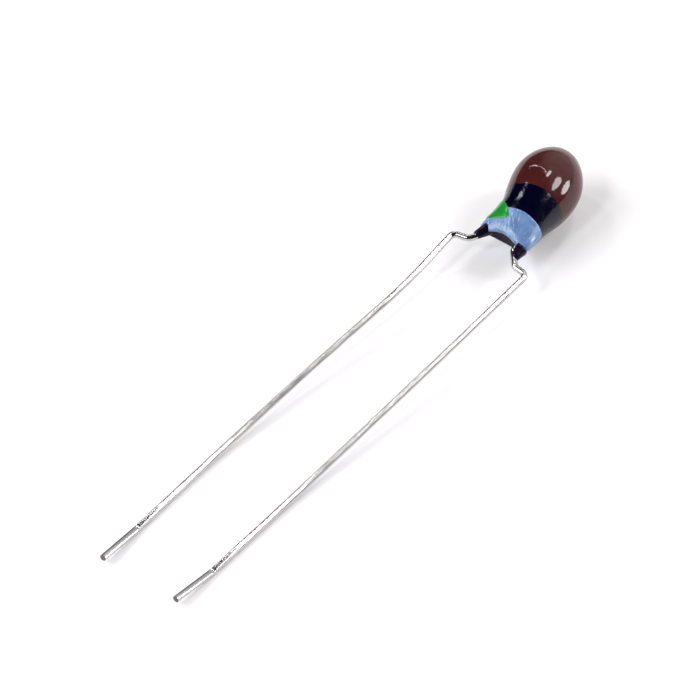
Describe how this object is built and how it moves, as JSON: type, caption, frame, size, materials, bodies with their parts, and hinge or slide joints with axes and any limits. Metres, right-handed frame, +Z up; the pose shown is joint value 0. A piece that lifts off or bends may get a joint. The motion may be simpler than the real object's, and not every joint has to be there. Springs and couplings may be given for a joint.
{
  "type": "tantalum capacitor",
  "caption": "Small dipped bead capacitor with painted colour-code bands, a polarity spot and two long kinked wire leads.",
  "frame": {"origin": "middle of the underside of the bounding box, on the surface that the capacitor lies on", "axes": "+X along the leads from their cut tips to the bead, +Y towards the cathode lead, +Z up"},
  "size_m": [0.049, 0.0074, 0.0051],
  "materials": {
    "dark_resin": "glossy dark epoxy",
    "brown_paint": "glossy",
    "black_paint": "glossy",
    "blue_paint": "satin with brush streaks",
    "green_paint": "glossy",
    "tinned_wire": "bright tinned wire",
    "tantalum": "grey metal",
    "sintered_tantalum": "matt porous metal",
    "ptfe": "matt white",
    "manganese_dioxide": "matt black",
    "graphite": "matt dark grey",
    "silver_paint": "matt silver",
    "solder": "bright solder"
  },
  "bodies": {
    "root": {"resin_body": "dark_resin", "brown_dome": "brown_paint", "black_band": "black_paint", "blue_neck_band": "blue_paint", "green_spot": "green_paint", "anode_lead": "tinned_wire", "cathode_lead": "tinned_wire", "anode_slug": "sintered_tantalum", "riser_wire": "tantalum", "ptfe_washer": "ptfe", "manganese_dioxide_coat": "manganese_dioxide", "graphite_coat": "graphite", "silver_coat": "silver_paint", "cathode_solder": "solder", "anode_weld": "tantalum"}
  },
  "joints": []
}
